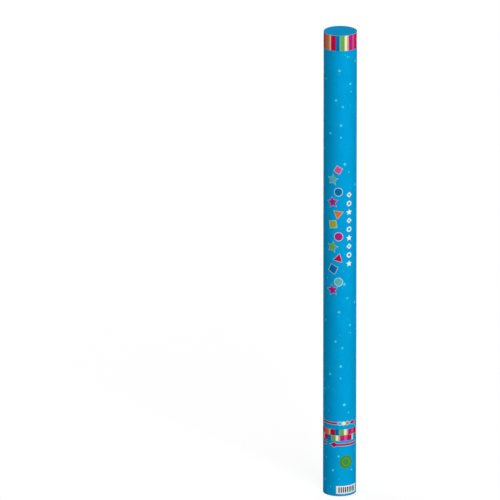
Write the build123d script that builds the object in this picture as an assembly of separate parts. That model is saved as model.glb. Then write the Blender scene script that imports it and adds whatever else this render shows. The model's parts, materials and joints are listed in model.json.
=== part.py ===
from build123d import *
import os
from math import pi, sqrt

# Twist confetti popper: a long board launch tube on a short grip tube, both in printed paper.
# Turning the tube on the grip lets a stopper rise out of a bottle of compressed air, and the air
# drives a pusher, the confetti and the muzzle cap out of the top.
# Millimetres. Origin at the middle of the base, +Z up along the tube, front of the print at -Y.

# Outside of the popper
body_d = 42.0
total_h = 610.0
grip_h = 81.0
twist_gap = 0.4
wrap_t = 0.25
tube_wall = 1.8

# Clearances
glue_gap = 0.05
run_gap = 0.15
slide_gap = 0.3
face_gap = 0.2
seal_gap = 0.03
overrun = 1.0

# How far the tube is twisted to fire the popper, and how far that lifts the stopper
twist_range_deg = 120.0
stopper_lift = 6.0

# Base plug
plug_floor = 2.2
plug_skirt_h = 14.0
plug_wall = 1.4
plug_seat_h = 5.8
plug_seat_wall = 2.5
plug_seat_inset = 0.3
plug_rib_t = 1.2
plug_ribs = 6
plug_rim_w = 9.4
plug_dish_depth = 0.7

# Coupler sleeve between the two tubes
coupler_wall = 1.5
coupler_in_grip = 25.0

# Air bottle
bottle_gap = 1.0
bottle_wall = 1.0
bottle_above_grip = 15.0
bottle_shoulder_h = 14.0
bottle_foot_r = 3.0
bottle_foot_w = 7.8
bottle_punt_h = 2.6
bottle_punt_taper = 1.0
bottle_base_t = 1.6
mouth_share = 0.405
neck_wall = 2.4
neck_h = 14.0
bead_out = 1.5
bead_h = 1.4
bead_lift = 1.0

# Grommet in the bottle's base
grommet_stem_d = 5.0
grommet_head_d = 9.0
grommet_head_t = 1.6

# Bottle cradle
cradle_lift = 16.0
cradle_h = 16.0

# Valve on the bottle's neck
gasket_t = 1.0
flange_gap = 2.1
flange_t = 2.5
skirt_h = 11.0
skirt_wall = 2.0
seat_wall = 1.55
seat_tube_h = 12.0
seat_step_drop = 4.0
relief_gap = 0.7
tower_wall = 2.8
tower_h = 17.0
tower_slot_drop = 1.5
band_t = 0.7
band_h = 6.0
washer_t = 0.5
washer_inset = 1.0

# Stopper, its seal and its cross pin
shank_h = 5.4
seal_drop = 3.6
head_rise = 8.5
o_ring_t = 1.8
flute_share = 0.38
flutes = 4
pin_d = 2.5
pin_rise = 5.5
pin_inset = 0.3

# Cam housing in the launch tube
cam_wall = 2.4
cam_top_wall = 5.0
cam_slot_gap = 0.2
cam_slots = 2
housing_wall = 1.8
housing_web_t = 2.4
housing_skirt_h = 10.4
housing_head_h = 5.0

# Retaining ring
ring_t = 1.6
ring_bite = 0.7
ring_gap = 0.75
ring_mouth = 7.0

# Diffuser plate
diffuser_t = 2.5
diffuser_rim_t = 1.6
diffuser_rim_h = 4.0
diffuser_hole_d = 6.0
diffuser_hole_inset = 1.45
diffuser_hole_web = 2.4

# Pusher
pusher_card_t = 1.5
pusher_foam_t = 8.0

# Confetti, in bundles of slips that stand on end in tiers
slip_h = 42.0
tier_gap = 0.6
bundle_gap = 0.5
bundle_rows = (1, 2, 3, 2, 1)
end_row_inset = 2.3
tier_turn_deg = 37.0
headspace = 88.0
confetti_colours = ("pink", "orange", "yellow", "green", "blue", "magenta")

# Muzzle cap
cap_disc_t = 0.6
cap_plug_h = 8.0

# Diameters that follow from the sizes above, from the outside in
tube_d = body_d - 2 * wrap_t
bore_d = tube_d - 2 * tube_wall
glued_d = bore_d - 2 * glue_gap
sliding_d = bore_d - 2 * slide_gap
coupler_d = bore_d - 2 * run_gap
coupler_bore_d = coupler_d - 2 * coupler_wall
housing_bore_d = glued_d - 2 * housing_wall
ring_groove_d = housing_bore_d + 2 * ring_bite
bottle_d = coupler_bore_d - 2 * bottle_gap
punt_d = bottle_d - 2 * bottle_foot_w
neck_bore_d = mouth_share * bottle_d
neck_d = neck_bore_d + 2 * neck_wall
skirt_bore_d = neck_d + 2 * glue_gap
skirt_d = skirt_bore_d + 2 * skirt_wall
band_d = skirt_d + 2 * band_t
flange_d = housing_bore_d - 2 * flange_gap
seat_tube_d = neck_bore_d - 2 * glue_gap
seat_bore_d = seat_tube_d - 2 * seat_wall
relief_d = seat_bore_d + 2 * relief_gap
tower_d = relief_d + 2 * tower_wall
cam_bore_d = tower_d + 2 * run_gap
cam_d = cam_bore_d + 2 * cam_wall
shank_d = seat_bore_d - 2 * run_gap
head_d = relief_d - 2 * run_gap
flute_d = flute_share * head_d
cam_slot_w = pin_d + 2 * cam_slot_gap
groove_h = o_ring_t + 2 * seal_gap
groove_d = seat_bore_d - 2 * (o_ring_t + 2 * seal_gap)

# Heights that follow, from the base up
bottle_z = plug_floor + plug_seat_h
punt_z = bottle_z + bottle_punt_h
bottle_floor_z = punt_z + bottle_base_t
cradle_z = bottle_z + cradle_lift
barrel_z = grip_h + twist_gap
shoulder_z = grip_h + bottle_above_grip
neck_z = shoulder_z + bottle_shoulder_h
neck_top_z = neck_z + neck_h
flange_z = neck_top_z + gasket_t
flange_top_z = flange_z + flange_t
seat_step_z = flange_z - seat_step_drop
tower_top_z = flange_top_z + tower_h
head_z = seat_step_z + face_gap
seal_z = head_z - seal_drop
pin_z = flange_top_z + pin_rise
head_top_z = pin_z + head_rise
ring_top_z = flange_z - face_gap
web_z = flange_top_z + washer_t + face_gap
housing_z = web_z - housing_skirt_h
cam_top_z = pin_z + stopper_lift + cam_top_wall
housing_top_z = max(cam_top_z, head_top_z + stopper_lift) + housing_head_h
diffuser_top_z = housing_top_z + diffuser_t
pusher_z = diffuser_top_z + face_gap
foam_z = pusher_z + pusher_card_t
confetti_z = foam_z + pusher_foam_t
muzzle_z = total_h - cap_disc_t
cap_plug_z = muzzle_z - cap_plug_h

# Confetti that fits: rows across the bore, the widest slip for the fullest row, and the tiers that
# leave the headspace free
row_count = len(bundle_rows)
widest_row = max(bundle_rows)
bundle_t = (sliding_d - 2 * end_row_inset - (row_count - 1) * bundle_gap) / row_count
slip_w = (sqrt(sliding_d**2 - bundle_t**2) - (widest_row - 1) * bundle_gap) / widest_row
tier_pitch = slip_h + tier_gap
tiers = int((cap_plug_z - headspace - confetti_z) // tier_pitch)


def drum(diameter, z_low, z_high):
    """Round bar on the popper's axis."""
    from_base = (Align.CENTER, Align.CENTER, Align.MIN)
    return Pos(0, 0, z_low) * Cylinder(diameter / 2, z_high - z_low, align=from_base)


def tube(outer_d, inner_d, z_low, z_high):
    """Round tube on the popper's axis."""
    return drum(outer_d, z_low, z_high) - drum(inner_d, z_low, z_high)


def turned(edges):
    """Solid of revolution of a closed half outline, drawn as (radius, height)."""
    return revolve(Plane.XZ * make_face(edges), Axis.Z)


def round_the_axis(shape, count, first_deg=0.0):
    """Copies of a shape, evenly spaced round the popper's axis."""
    return [Rot(0, 0, first_deg + 360 * i / count) * shape for i in range(count)]


def paper_tube(z_low, z_high):
    """Spiral-wound board tube."""
    return tube(tube_d, bore_d, z_low, z_high)


def printed_wrap(z_low, z_high):
    """Printed paper glued round a board tube."""
    return tube(body_d, tube_d, z_low, z_high)


def base_plug():
    """Moulded cup that closes the grip, with a ribbed ring that carries the bottle."""
    floor = drum(glued_d, 0, plug_floor) - drum(glued_d - 2 * plug_rim_w, 0, plug_dish_depth)
    skirt = tube(glued_d, glued_d - 2 * plug_wall, 0, plug_skirt_h)
    seat_d = bottle_d - 2 * (bottle_foot_r + plug_seat_inset)
    seat = tube(seat_d, seat_d - 2 * plug_seat_wall, plug_floor, bottle_z)
    rib_from = (seat_d - plug_seat_wall) / 2
    rib_to = (glued_d - plug_wall) / 2
    rib_block = Box(rib_to - rib_from, plug_rib_t, bottle_z - plug_floor)
    rib = Pos((rib_from + rib_to) / 2, 0, (plug_floor + bottle_z) / 2) * rib_block
    return floor + skirt + seat + round_the_axis(rib, plug_ribs)


def shoulder_and_neck(radius_low, radius_high, z_low, z_high, z_end):
    """Upper side of the bottle: an S of two arcs over the shoulder, then straight up the neck."""
    start = (radius_low, z_low)
    middle = ((radius_low + radius_high) / 2, (z_low + z_high) / 2)
    end = (radius_high, z_high)
    first = TangentArc(start, middle, tangent=(0, 1))
    second = TangentArc(middle, end, tangent=first % 1)
    return [first, second, Line(end, (radius_high, z_end))]


def air_bottle():
    """Pressure bottle with a pushed-up base, a round shoulder and a beaded neck."""
    outer_r = bottle_d / 2
    foot_end = (outer_r - bottle_foot_r, bottle_z)
    side_start = (outer_r, bottle_z + bottle_foot_r)
    side_end = (outer_r, shoulder_z)
    punt_corner = (punt_d / 2, punt_z)
    punt_edge = (punt_d / 2 + bottle_punt_taper, bottle_z)
    outside = turned(
        [
            Polyline((0, neck_top_z), (0, punt_z), punt_corner, punt_edge, foot_end),
            TangentArc(foot_end, side_start, tangent=(1, 0)),
            Line(side_start, side_end),
            *shoulder_and_neck(outer_r, neck_d / 2, shoulder_z, neck_z, neck_top_z),
            Line((neck_d / 2, neck_top_z), (0, neck_top_z)),
        ]
    )
    inner_r = outer_r - bottle_wall
    inner_foot_r = bottle_foot_r - bottle_wall
    floor_end = (inner_r - inner_foot_r, bottle_floor_z)
    wall_start = (inner_r, bottle_floor_z + inner_foot_r)
    wall_end_z = shoulder_z - bottle_wall
    cavity_top_z = neck_top_z + overrun
    inside = turned(
        [
            Polyline((0, cavity_top_z), (0, bottle_floor_z), floor_end),
            TangentArc(floor_end, wall_start, tangent=(1, 0)),
            Line(wall_start, (inner_r, wall_end_z)),
            *shoulder_and_neck(inner_r, neck_bore_d / 2, wall_end_z, neck_z - bottle_wall, cavity_top_z),
            Line((neck_bore_d / 2, cavity_top_z), (0, cavity_top_z)),
        ]
    )
    bead_z = neck_z + bead_lift
    bead = tube(neck_d + 2 * bead_out, neck_bore_d, bead_z, bead_z + bead_h)
    fill_hole = drum(grommet_stem_d, bottle_z, bottle_floor_z + overrun)
    return outside + bead - inside - fill_hole


def fill_grommet():
    """Rubber plug in the bottle's base, with a head on each side."""
    stem = drum(grommet_stem_d - 2 * glue_gap, punt_z, bottle_floor_z)
    outer_head = drum(grommet_head_d, punt_z - grommet_head_t, punt_z)
    inner_head = drum(grommet_head_d, bottle_floor_z, bottle_floor_z + grommet_head_t)
    return stem + outer_head + inner_head


def bottle_cradle():
    """Collar that centres the bottle in the grip."""
    return tube(glued_d, bottle_d + 2 * glue_gap, cradle_z, cradle_z + cradle_h)


def neck_gasket():
    """Flat seal on the bottle's mouth."""
    return tube(neck_d, neck_bore_d, neck_top_z, flange_z)


def valve_body():
    """Cap on the neck: skirt outside, stopper seat inside, thrust flange, and a slotted guide tower."""
    skirt = tube(skirt_d, skirt_bore_d, flange_z - skirt_h, flange_z)
    seat = tube(seat_tube_d, seat_bore_d, flange_z - seat_tube_h, flange_z)
    flange = drum(flange_d, flange_z, flange_top_z)
    tower = drum(tower_d, flange_top_z, tower_top_z)
    relief = drum(relief_d, seat_step_z, tower_top_z)
    slot_z = pin_z - pin_d / 2 - tower_slot_drop
    slot_h = tower_top_z + overrun - slot_z
    slot_block = Box(tower_d + 2 * overrun, pin_d + 2 * run_gap, slot_h)
    slot = Pos(0, 0, slot_z + slot_h / 2) * slot_block
    return skirt + seat + flange + tower - relief - slot


def crimp_band():
    """Metal band pressed round the valve's skirt to hold it on the neck."""
    band_z = flange_z - skirt_h
    return tube(band_d, skirt_d, band_z, band_z + band_h)


def thrust_washer():
    """Slip washer between the valve's flange and the housing's web."""
    return tube(flange_d - 2 * washer_inset, cam_bore_d, flange_top_z, flange_top_z + washer_t)


def valve_stopper():
    """Plug with a seal groove, a fluted head that guides it in the tower, and a hole for the pin."""
    shank = drum(shank_d, head_z - shank_h, head_z)
    groove = tube(seat_bore_d, groove_d, seal_z - groove_h / 2, seal_z + groove_h / 2)
    head = drum(head_d, head_z, head_top_z)
    flute_bar = drum(flute_d, head_z, head_top_z)
    flute = Pos((head_d + flute_d / 2) / 2, 0, 0) * flute_bar
    hole = Pos(0, 0, pin_z) * Rot(0, 90, 0) * Cylinder(pin_d / 2 + glue_gap, head_d)
    return shank - groove + head - round_the_axis(flute, flutes, 180 / flutes) - hole


def stopper_o_ring():
    """Seal on the stopper's shank."""
    ring_r = seat_bore_d / 2 - seal_gap - o_ring_t / 2
    return Pos(0, 0, seal_z) * Torus(ring_r, o_ring_t / 2)


def cross_pin():
    """Steel pin through the stopper, the tower's slots and the cam's slots."""
    return Pos(0, 0, pin_z) * Rot(0, 90, 0) * Cylinder(pin_d / 2, cam_d - 2 * pin_inset)


def cam_slot():
    """One cam slot: open at the bottom for the pin, then a helix up by the stopper's lift over the twist.

    The tube turns anticlockwise round the pin, seen from above, so the helix climbs clockwise.
    """
    depth = cam_wall + 2 * overrun
    middle_r = (cam_bore_d + cam_d) / 4
    pitch = stopper_lift * 360 / twist_range_deg
    path = Helix(pitch, stopper_lift, middle_r, center=(0, 0, pin_z), lefthand=True)
    section_plane = Plane((middle_r, 0, pin_z), x_dir=(1, 0, 0), z_dir=(0, 1, 0))
    run = sweep(section_plane * Rectangle(depth, cam_slot_w), path, is_frenet=True)
    round_end = Rot(0, 90, 0) * Cylinder(cam_slot_w / 2, depth)
    low_end = Pos(middle_r, 0, pin_z) * round_end
    high_end = Rot(0, 0, -twist_range_deg) * Pos(middle_r, 0, pin_z + stopper_lift) * round_end
    entry_z = web_z - overrun
    entry = Pos(middle_r, 0, (entry_z + pin_z) / 2) * Box(depth, cam_slot_w, pin_z - entry_z)
    return run + low_end + high_end + entry


def cam_housing():
    """Moulding glued in the launch tube: outer shell, thrust web, and the slotted cam sleeve."""
    shell = tube(glued_d, housing_bore_d, housing_z, housing_top_z)
    ring_groove = drum(ring_groove_d, ring_top_z - ring_t - face_gap, ring_top_z + face_gap)
    web = tube(glued_d - housing_wall, cam_bore_d, web_z, web_z + housing_web_t)
    sleeve = tube(cam_d, cam_bore_d, web_z, cam_top_z)
    return shell - ring_groove + web + sleeve - round_the_axis(cam_slot(), cam_slots)


def retaining_ring():
    """Split ring under the valve's flange, which keeps the tube on the grip."""
    ring = tube(ring_groove_d - 2 * glue_gap, band_d + 2 * ring_gap, ring_top_z - ring_t, ring_top_z)
    mouth = Pos(0, ring_groove_d / 2, ring_top_z - ring_t / 2) * Box(ring_mouth, ring_groove_d, 2 * ring_t)
    return ring - mouth


def coupler_sleeve():
    """Board sleeve glued in the launch tube, which turns in the grip."""
    return tube(coupler_d, coupler_bore_d, barrel_z - coupler_in_grip, housing_z)


def diffuser_plate():
    """Plate with a ring of gas holes, on which the pusher sits; its rim hangs in the housing."""
    plate = drum(glued_d, housing_top_z, diffuser_top_z)
    rim_d = housing_bore_d - 2 * glue_gap
    rim_bore_d = rim_d - 2 * diffuser_rim_t
    rim = tube(rim_d, rim_bore_d, housing_top_z - diffuser_rim_h, housing_top_z)
    hole_r = (rim_bore_d - diffuser_hole_d) / 2 - diffuser_hole_inset
    hole = Pos(hole_r, 0, 0) * drum(diffuser_hole_d, housing_top_z, diffuser_top_z)
    holes = int(2 * pi * hole_r // (diffuser_hole_d + diffuser_hole_web))
    return plate + rim - round_the_axis(hole, holes)


def confetti_bundles():
    """Bundles of tissue slips on end, in tiers that fill the bore, dealt out to the colours in turn."""
    dealt = {colour: [] for colour in confetti_colours}
    count = 0
    for tier in range(tiers):
        z = confetti_z + tier * tier_pitch + slip_h / 2
        for row, in_row in enumerate(bundle_rows):
            y = (row - (row_count - 1) / 2) * (bundle_t + bundle_gap)
            for place in range(in_row):
                x = (place - (in_row - 1) / 2) * (slip_w + bundle_gap)
                bundle = Rot(0, 0, tier * tier_turn_deg) * Pos(x, y, z) * Box(slip_w, bundle_t, slip_h)
                dealt[confetti_colours[count % len(confetti_colours)]].append(bundle)
                count += 1
    return {f"confetti_{colour}": Compound(children=bundles) for colour, bundles in dealt.items()}


pieces = {
    "grip_tube": paper_tube(0, grip_h),
    "grip_wrap": printed_wrap(0, grip_h),
    "base_plug": base_plug(),
    "air_bottle": air_bottle(),
    "fill_grommet": fill_grommet(),
    "bottle_cradle": bottle_cradle(),
    "neck_gasket": neck_gasket(),
    "valve_body": valve_body(),
    "crimp_band": crimp_band(),
    "thrust_washer": thrust_washer(),
    "valve_stopper": valve_stopper(),
    "stopper_o_ring": stopper_o_ring(),
    "cross_pin": cross_pin(),
    "launch_tube": paper_tube(barrel_z, muzzle_z),
    "barrel_wrap": printed_wrap(barrel_z, muzzle_z),
    "coupler_sleeve": coupler_sleeve(),
    "cam_housing": cam_housing(),
    "retaining_ring": retaining_ring(),
    "diffuser_plate": diffuser_plate(),
    "pusher_card": drum(sliding_d, pusher_z, foam_z),
    "pusher_foam": drum(sliding_d, foam_z, confetti_z),
    **confetti_bundles(),
    "muzzle_plug": drum(sliding_d, cap_plug_z, muzzle_z),
    "muzzle_disc": drum(body_d, muzzle_z, total_h),
}

os.makedirs("parts", exist_ok=True)
for name, piece in pieces.items():
    export_step(piece, f"parts/{name}.step")

print("Pieces:", len(pieces), "in parts/, with", tiers, "tiers of confetti from", confetti_z)
print("Base of the pusher:", pusher_z, "Top of the confetti:", confetti_z + tiers * tier_pitch - tier_gap)
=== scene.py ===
"""Looks of a twist confetti popper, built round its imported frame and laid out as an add-on."""

import json
from functools import cache
from math import cos, degrees, pi, radians, sin

import bpy
import numpy as np
from mathutils import Color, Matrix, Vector


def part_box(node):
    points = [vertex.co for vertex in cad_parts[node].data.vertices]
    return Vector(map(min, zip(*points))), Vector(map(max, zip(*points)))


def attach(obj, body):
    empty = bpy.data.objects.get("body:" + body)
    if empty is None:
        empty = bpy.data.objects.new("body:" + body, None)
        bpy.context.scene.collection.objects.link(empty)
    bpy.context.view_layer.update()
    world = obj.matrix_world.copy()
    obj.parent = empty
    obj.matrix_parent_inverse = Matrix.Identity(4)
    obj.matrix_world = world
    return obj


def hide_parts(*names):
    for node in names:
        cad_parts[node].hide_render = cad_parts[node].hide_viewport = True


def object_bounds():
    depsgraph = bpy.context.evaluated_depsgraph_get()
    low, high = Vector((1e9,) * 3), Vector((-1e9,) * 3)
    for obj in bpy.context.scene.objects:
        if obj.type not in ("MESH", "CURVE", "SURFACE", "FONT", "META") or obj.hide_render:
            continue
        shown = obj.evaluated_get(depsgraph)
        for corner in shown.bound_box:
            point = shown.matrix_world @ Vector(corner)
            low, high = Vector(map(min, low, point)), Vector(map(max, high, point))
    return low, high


bl_info = {
    "name": "Confetti popper",
    "version": (1, 0, 0),
    "blender": (4, 5, 0),
    "location": "View3D > Sidebar > Popper",
    "description": "Printed paper, cap, foam, confetti and finishes of a twist confetti popper",
    "category": "Object",
}

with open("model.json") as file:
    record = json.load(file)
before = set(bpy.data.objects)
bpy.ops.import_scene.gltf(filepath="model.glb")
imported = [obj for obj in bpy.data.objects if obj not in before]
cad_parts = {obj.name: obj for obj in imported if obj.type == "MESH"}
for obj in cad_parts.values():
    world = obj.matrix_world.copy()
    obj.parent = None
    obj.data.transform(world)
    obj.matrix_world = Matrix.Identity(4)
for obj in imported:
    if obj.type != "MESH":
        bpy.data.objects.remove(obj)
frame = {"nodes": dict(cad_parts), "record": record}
cad_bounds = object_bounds()

# Sizes are written in millimetres, and Blender works in metres
mm = 0.001

# Places from the frame
grip_low, grip_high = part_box("grip_wrap")
barrel_low, barrel_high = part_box("barrel_wrap")
cap_low, cap_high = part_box("muzzle_disc")
plug_low, plug_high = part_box("muzzle_plug")
wad_low, wad_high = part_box("pusher_foam")
body_r = barrel_high.x
board_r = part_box("launch_tube")[1].x
loose_r = wad_high.x

# Angles round the tube, with 0 at the front
whole_turn_deg = 360.0
half_turn_deg = whole_turn_deg / 2
mm_per_degree = radians(1) * body_r / mm

# Confetti bundles, as they are packed in the tube
confetti_colours = ("pink", "orange", "yellow", "green", "blue", "magenta")
confetti_seed = 7
bundle_rows = (1, 2, 3, 2, 1)
tiers = 8
tier_turn_deg = 37.0
tier_gap = 0.6 * mm
bundle_gap = 0.5 * mm
end_row_inset = 2.3 * mm

# Tissue slips: points across and along, waves in their length, and the cross wave's share of the long one
slip_columns = 4
slip_rows = 6
slip_waves = 0.9
cross_wave_share = 0.6

# Points of a wrap's lip and of a disc's rim, rings across a disc's face, and points round the foam
lip_points = 5
rim_points = 7
cap_rings = 12
foam_rings = 14
foam_columns = 144

# Waves of the foam's skin: how many go round it, and their radians in a metre up it
foam_waves = ((5, 900.0), (11, -2300.0))

# Clearance of a wrap over its board, and its columns at the lapped edge, in radians past it
paper_clearance = 0.01 * mm
lap_columns = np.array([0.0, 0.002, 0.006])

# Stripes of the print, as colours and widths in degrees
stripes_from_deg = -87.6
stripes = (
    ("plum", 17.0), ("pink", 9.3), ("orange", 14.5), ("ochre", 6.0), ("shell", 6.5), ("crimson", 18.0),
    ("blue", 13.0), ("teal", 5.5), ("green", 12.5), ("cream", 9.0), ("peach", 6.4), ("magenta", 14.6),
    ("pink", 11.0), ("crimson", 18.6), ("lavender", 5.6), ("sky", 8.4), ("blue", 7.8), ("green", 10.9),
    ("yellow", 7.1),
)
grip_stripes_shift_deg = -29.0

# Stars of the print, as angle, height in millimetres and size as a share of the star's size
star_repeat_deg = 180.0
star_turn_deg = 25.0
barrel_star_repeat = 318.6
barrel_stars = (
    (62.0, 254.8, 1.0), (-3.0, 245.1, 1.0), (37.0, 226.6, 0.9), (40.0, 216.2, 0.5), (-15.0, 206.0, 0.9),
    (9.0, 197.5, 0.8), (3.0, 173.1, 1.0), (-35.5, 161.9, 1.0), (2.5, 157.3, 0.7), (16.0, 121.8, 1.1),
    (32.0, 111.0, 0.6), (63.0, 92.1, 0.9), (15.5, 282.0, 1.1), (25.6, 263.0, 0.6), (-58.0, 232.0, 0.7),
    (-66.0, 140.0, 0.8), (-50.0, 289.0, 0.6), (80.0, 181.0, 0.8),
)
grip_stars = (
    (-3.8, 53.2, 0.8), (-23.7, 34.4, 0.9), (45.4, 33.9, 0.8), (-52.0, 50.0, 0.6), (-60.0, 20.0, 0.8),
    (74.0, 52.0, 0.7), (-33.0, 12.0, 0.5),
)

# Specks between the stars: cells in a metre, a speck's core and edge in its cell, and how strongly it shows
specks_per_metre = 150.0
speck_core_share = 0.07
speck_edge_share = 0.15
speck_span = (0.35, 0.9)
speck_strength_share = 0.6

# Shapes of the print: how many arms, and how far out the notches lie, as a share of the tips
shape_arms = {"star": (5.0, 0.46), "square": (4.0, 0.7072), "triangle": (3.0, 0.501), "dot": (24.0, 0.9915)}

# Height after which a shape that isn't repeated would come again, in millimetres: past the popper's end
no_repeat = 2000.0

# Party shapes in a zigzag up the barrel: kind, colour, angle, height, size and turn
party_shapes = (
    ("star", "magenta", -27.0, 274.0, 7.6, 10.0), ("dot", "teal", -5.0, 285.0, 5.0, 0.0),
    ("square", "blue", -25.0, 302.0, 6.8, 20.0), ("triangle", "crimson", -6.0, 316.0, 6.6, -15.0),
    ("star", "green", -27.0, 331.0, 7.4, -12.0), ("dot", "magenta", -5.0, 345.0, 5.2, 0.0),
    ("square", "lime", -25.0, 361.0, 6.4, 55.0), ("triangle", "orange", -7.0, 375.0, 6.8, 172.0),
    ("star", "magenta", -27.0, 390.0, 7.6, 8.0), ("dot", "blue", -6.0, 404.0, 5.0, 0.0),
    ("star", "teal", -26.0, 420.0, 7.2, -5.0), ("square", "pink", -7.0, 433.0, 5.6, 15.0),
)

# White row beside the party shapes: kind, height, size and the size of its hole
white_row_deg = 33.0
white_row_span = (303.0, 405.0)
white_row_repeat = 34.0
white_row = (("star", 308.5, 4.3, 0.0), ("dot", 320.0, 3.5, 1.9), ("square", 331.5, 3.7, 1.7))

# Turning arrows: centre height and half widths in millimetres, the rest in degrees; the way is 1 or -1
barrel_arrow = {
    "Centre": 97.0, "Period": 180.0, "Tip": 64.0, "Way": 1.0, "Length": 175.0, "Head": 17.0, "Nock": 8.0,
    "Head Half": 2.9, "Shaft Half": 1.25, "Gap From": 25.0, "Gap To": 72.0,
}
grip_arrow = {
    "Centre": 68.6, "Period": 120.0, "Tip": -36.0, "Way": -1.0, "Length": 104.0, "Head": 17.0, "Nock": 11.0,
    "Head Half": 3.4, "Shaft Half": 1.35, "Gap From": 0.0, "Gap To": 0.0,
}
arrow_dots = (("sky", 0.0), ("cream", 14.0), ("orange", 28.0))
arrow_dot_size = 2.1
arrow_rim_width = 0.4

# Paper ahead of an arrow's tip that belongs to it, and the half width of its shaft where it has none
ahead_of_tip_deg = 8.0
no_half_width = -100.0

# Round spot and bar label on the grip
spot_deg = 23.0
spot_height = 45.4
spot_size = 9.0
label_deg = (-12.0, 70.0)
label_heights = (3.2, 13.6)
bars_heights = (4.6, 12.2)
bars_from_deg = -4.0
bar_count = 9
bar_pitch_deg = 7.4
bar_share = 0.6
bars_to_deg = bars_from_deg + (bar_count - 1 + bar_share) * bar_pitch_deg

# Edges of the ink and worn edges of the paper, in millimetres, and the bare edge of its lap
ink_soft = 0.12
rim_width = 0.7
wear_width = 0.2
wear_least_share = 0.25
wear_soft_share = 0.4
lap_soft_deg = 0.1

# Depths of the finishes' relief, and the depth of the board's joints as a share of its fibre's
paper_relief = 0.03 * mm
card_relief = 0.02 * mm
board_relief = 0.06 * mm
plastic_relief = 0.008 * mm
rubber_relief = 0.02 * mm
foam_relief = 0.25 * mm
tissue_relief = 0.3 * mm
paper_joint_share = 1.5
board_joint_share = 2.0

# Spans of a noise, or of the way out from a cell's middle, over which a tone, a painted shade or a gloss
# runs
tone_span = (0.3, 0.7)
gloss_span = (0.2, 0.8)
wear_span = (0.35, 0.75)
pit_shade_span = (0.0, 0.5)
pit_gloss_span = (0.0, 0.6)
foam_cells_per_metre = 900.0

# Rings of the floor from its rim inwards, points round it, and how far it lies under the base
floor_ring_shares = np.array([1.0, 0.25, 0.06, 0.01, 0.0])
floor_columns = 96
floor_drop = 0.2 * mm

# Width of the camera's sensor, in millimetres
sensor_width = 36.0

# Sockets of the Mix node that carry colours
mix_mask, mix_under, mix_over, mix_result = 0, 6, 7, 2


# Settings


def paint(name, description, *screen):
    """Colour property, with its default given as 0 to 255 values of a screen colour."""
    linear = Color([value / 255 for value in screen]).from_srgb_to_scene_linear()
    return bpy.props.FloatVectorProperty(
        name=name, description=description, subtype="COLOR", min=0, max=1, default=linear[:]
    )


def size(name, description, millimetres):
    """Length property, with its default given in millimetres."""
    return bpy.props.FloatProperty(
        name=name, description=description, unit="LENGTH", precision=5, default=millimetres * mm
    )


def pixels(name, description, value):
    """Property that is a place or a length in the picture."""
    return bpy.props.FloatProperty(name=name, description=description, subtype="PIXEL", default=value)


def level(name, description, value):
    """Property that is a share of light or colour."""
    return bpy.props.FloatProperty(
        name=name, description=description, subtype="FACTOR", min=0, soft_max=1, default=value
    )


def turn(name, description, angle_deg):
    """Angle property, with its default given in degrees."""
    return bpy.props.FloatProperty(
        name=name, description=description, subtype="ANGLE", default=radians(angle_deg)
    )


def count(name, description, value):
    """Whole number property."""
    return bpy.props.IntProperty(name=name, description=description, min=1, default=value)


class PopperInks(bpy.types.PropertyGroup):
    """Colours of the printed paper."""

    ground: paint("Ground", "Bright blue that the print lies on", 2, 170, 231)
    star: paint("Star", "Pale blue of the scattered stars", 88, 232, 255)
    outline: paint("Outline", "Pale line round the party shapes and the arrows", 222, 226, 240)
    crimson: paint("Crimson", "Stripe and arrow colour", 209, 15, 73)
    plum: paint("Plum", "Stripe colour", 133, 38, 114)
    magenta: paint("Magenta", "Stripe colour", 188, 38, 136)
    pink: paint("Pink", "Stripe colour", 230, 84, 150)
    orange: paint("Orange", "Stripe colour", 231, 123, 43)
    ochre: paint("Ochre", "Stripe colour", 214, 147, 57)
    shell: paint("Shell", "Stripe colour", 255, 208, 195)
    cream: paint("Cream", "Stripe colour", 250, 255, 200)
    peach: paint("Peach", "Stripe colour", 233, 163, 144)
    blue: paint("Blue", "Stripe colour", 9, 118, 178)
    teal: paint("Teal", "Stripe colour", 95, 191, 193)
    green: paint("Green", "Stripe colour", 118, 180, 73)
    yellow: paint("Yellow", "Stripe colour", 228, 209, 104)
    lime: paint("Lime", "Party shape colour", 173, 182, 59)
    sky: paint("Sky", "Stripe colour", 62, 194, 239)
    lavender: paint("Lavender", "Stripe colour", 226, 232, 251)
    white: paint("White", "Bare coated paper", 255, 255, 255)
    leaf: paint("Leaf", "Round spot on the grip", 74, 152, 68)
    bar: paint("Bar", "Dark bars of the label", 38, 38, 43)
    cap: paint("Cap", "Disc that closes the muzzle", 1, 175, 239)


class PopperPaper(bpy.types.PropertyGroup):
    """Sizes of the paper and its print."""

    top_band: size("Top band", "Height of the striped band under the rim", 20.0)
    barrel_row: size("Barrel row", "Height of the stripes above the turn line", 7.6)
    grip_row: size("Grip row", "Height of the stripes below the turn line", 7.2)
    star_size: size("Star", "Radius of a full-size star", 2.35)
    edge: size("Edge", "Rounding of the paper's cut edges", 0.09)
    lap: size("Lap", "Step where the paper laps over itself at the back", 0.12)
    lap_at: turn("Lap place", "Where the lapped edge runs, round from the front", 179.5)
    lap_run: turn("Lap run", "How far the paper takes to climb over its own edge", 26.0)
    wall_rows: count("Rows", "Rings of points along a wrap", 28)
    columns: count("Columns", "Points round a wrap", 180)


class PopperLoad(bpy.types.PropertyGroup):
    """Sizes of the soft load in the tube."""

    leaves: count("Leaves", "Tissue slips in a bundle", 11)
    leaf_t: size("Slip", "Thickness of a tissue slip", 0.3)
    leaf_wave: size("Wave", "How far a slip waves out of flat", 0.1)
    leaf_trim: size("Trim", "Most that a slip is cut short", 1.6)
    foam_edge: size("Foam edge", "Rounding of the foam's rims", 1.2)
    foam_crown: size("Foam crown", "How far the foam's faces swell", 0.25)
    foam_pit: size("Foam unevenness", "Unevenness of the foam's skin", 0.12)


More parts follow.
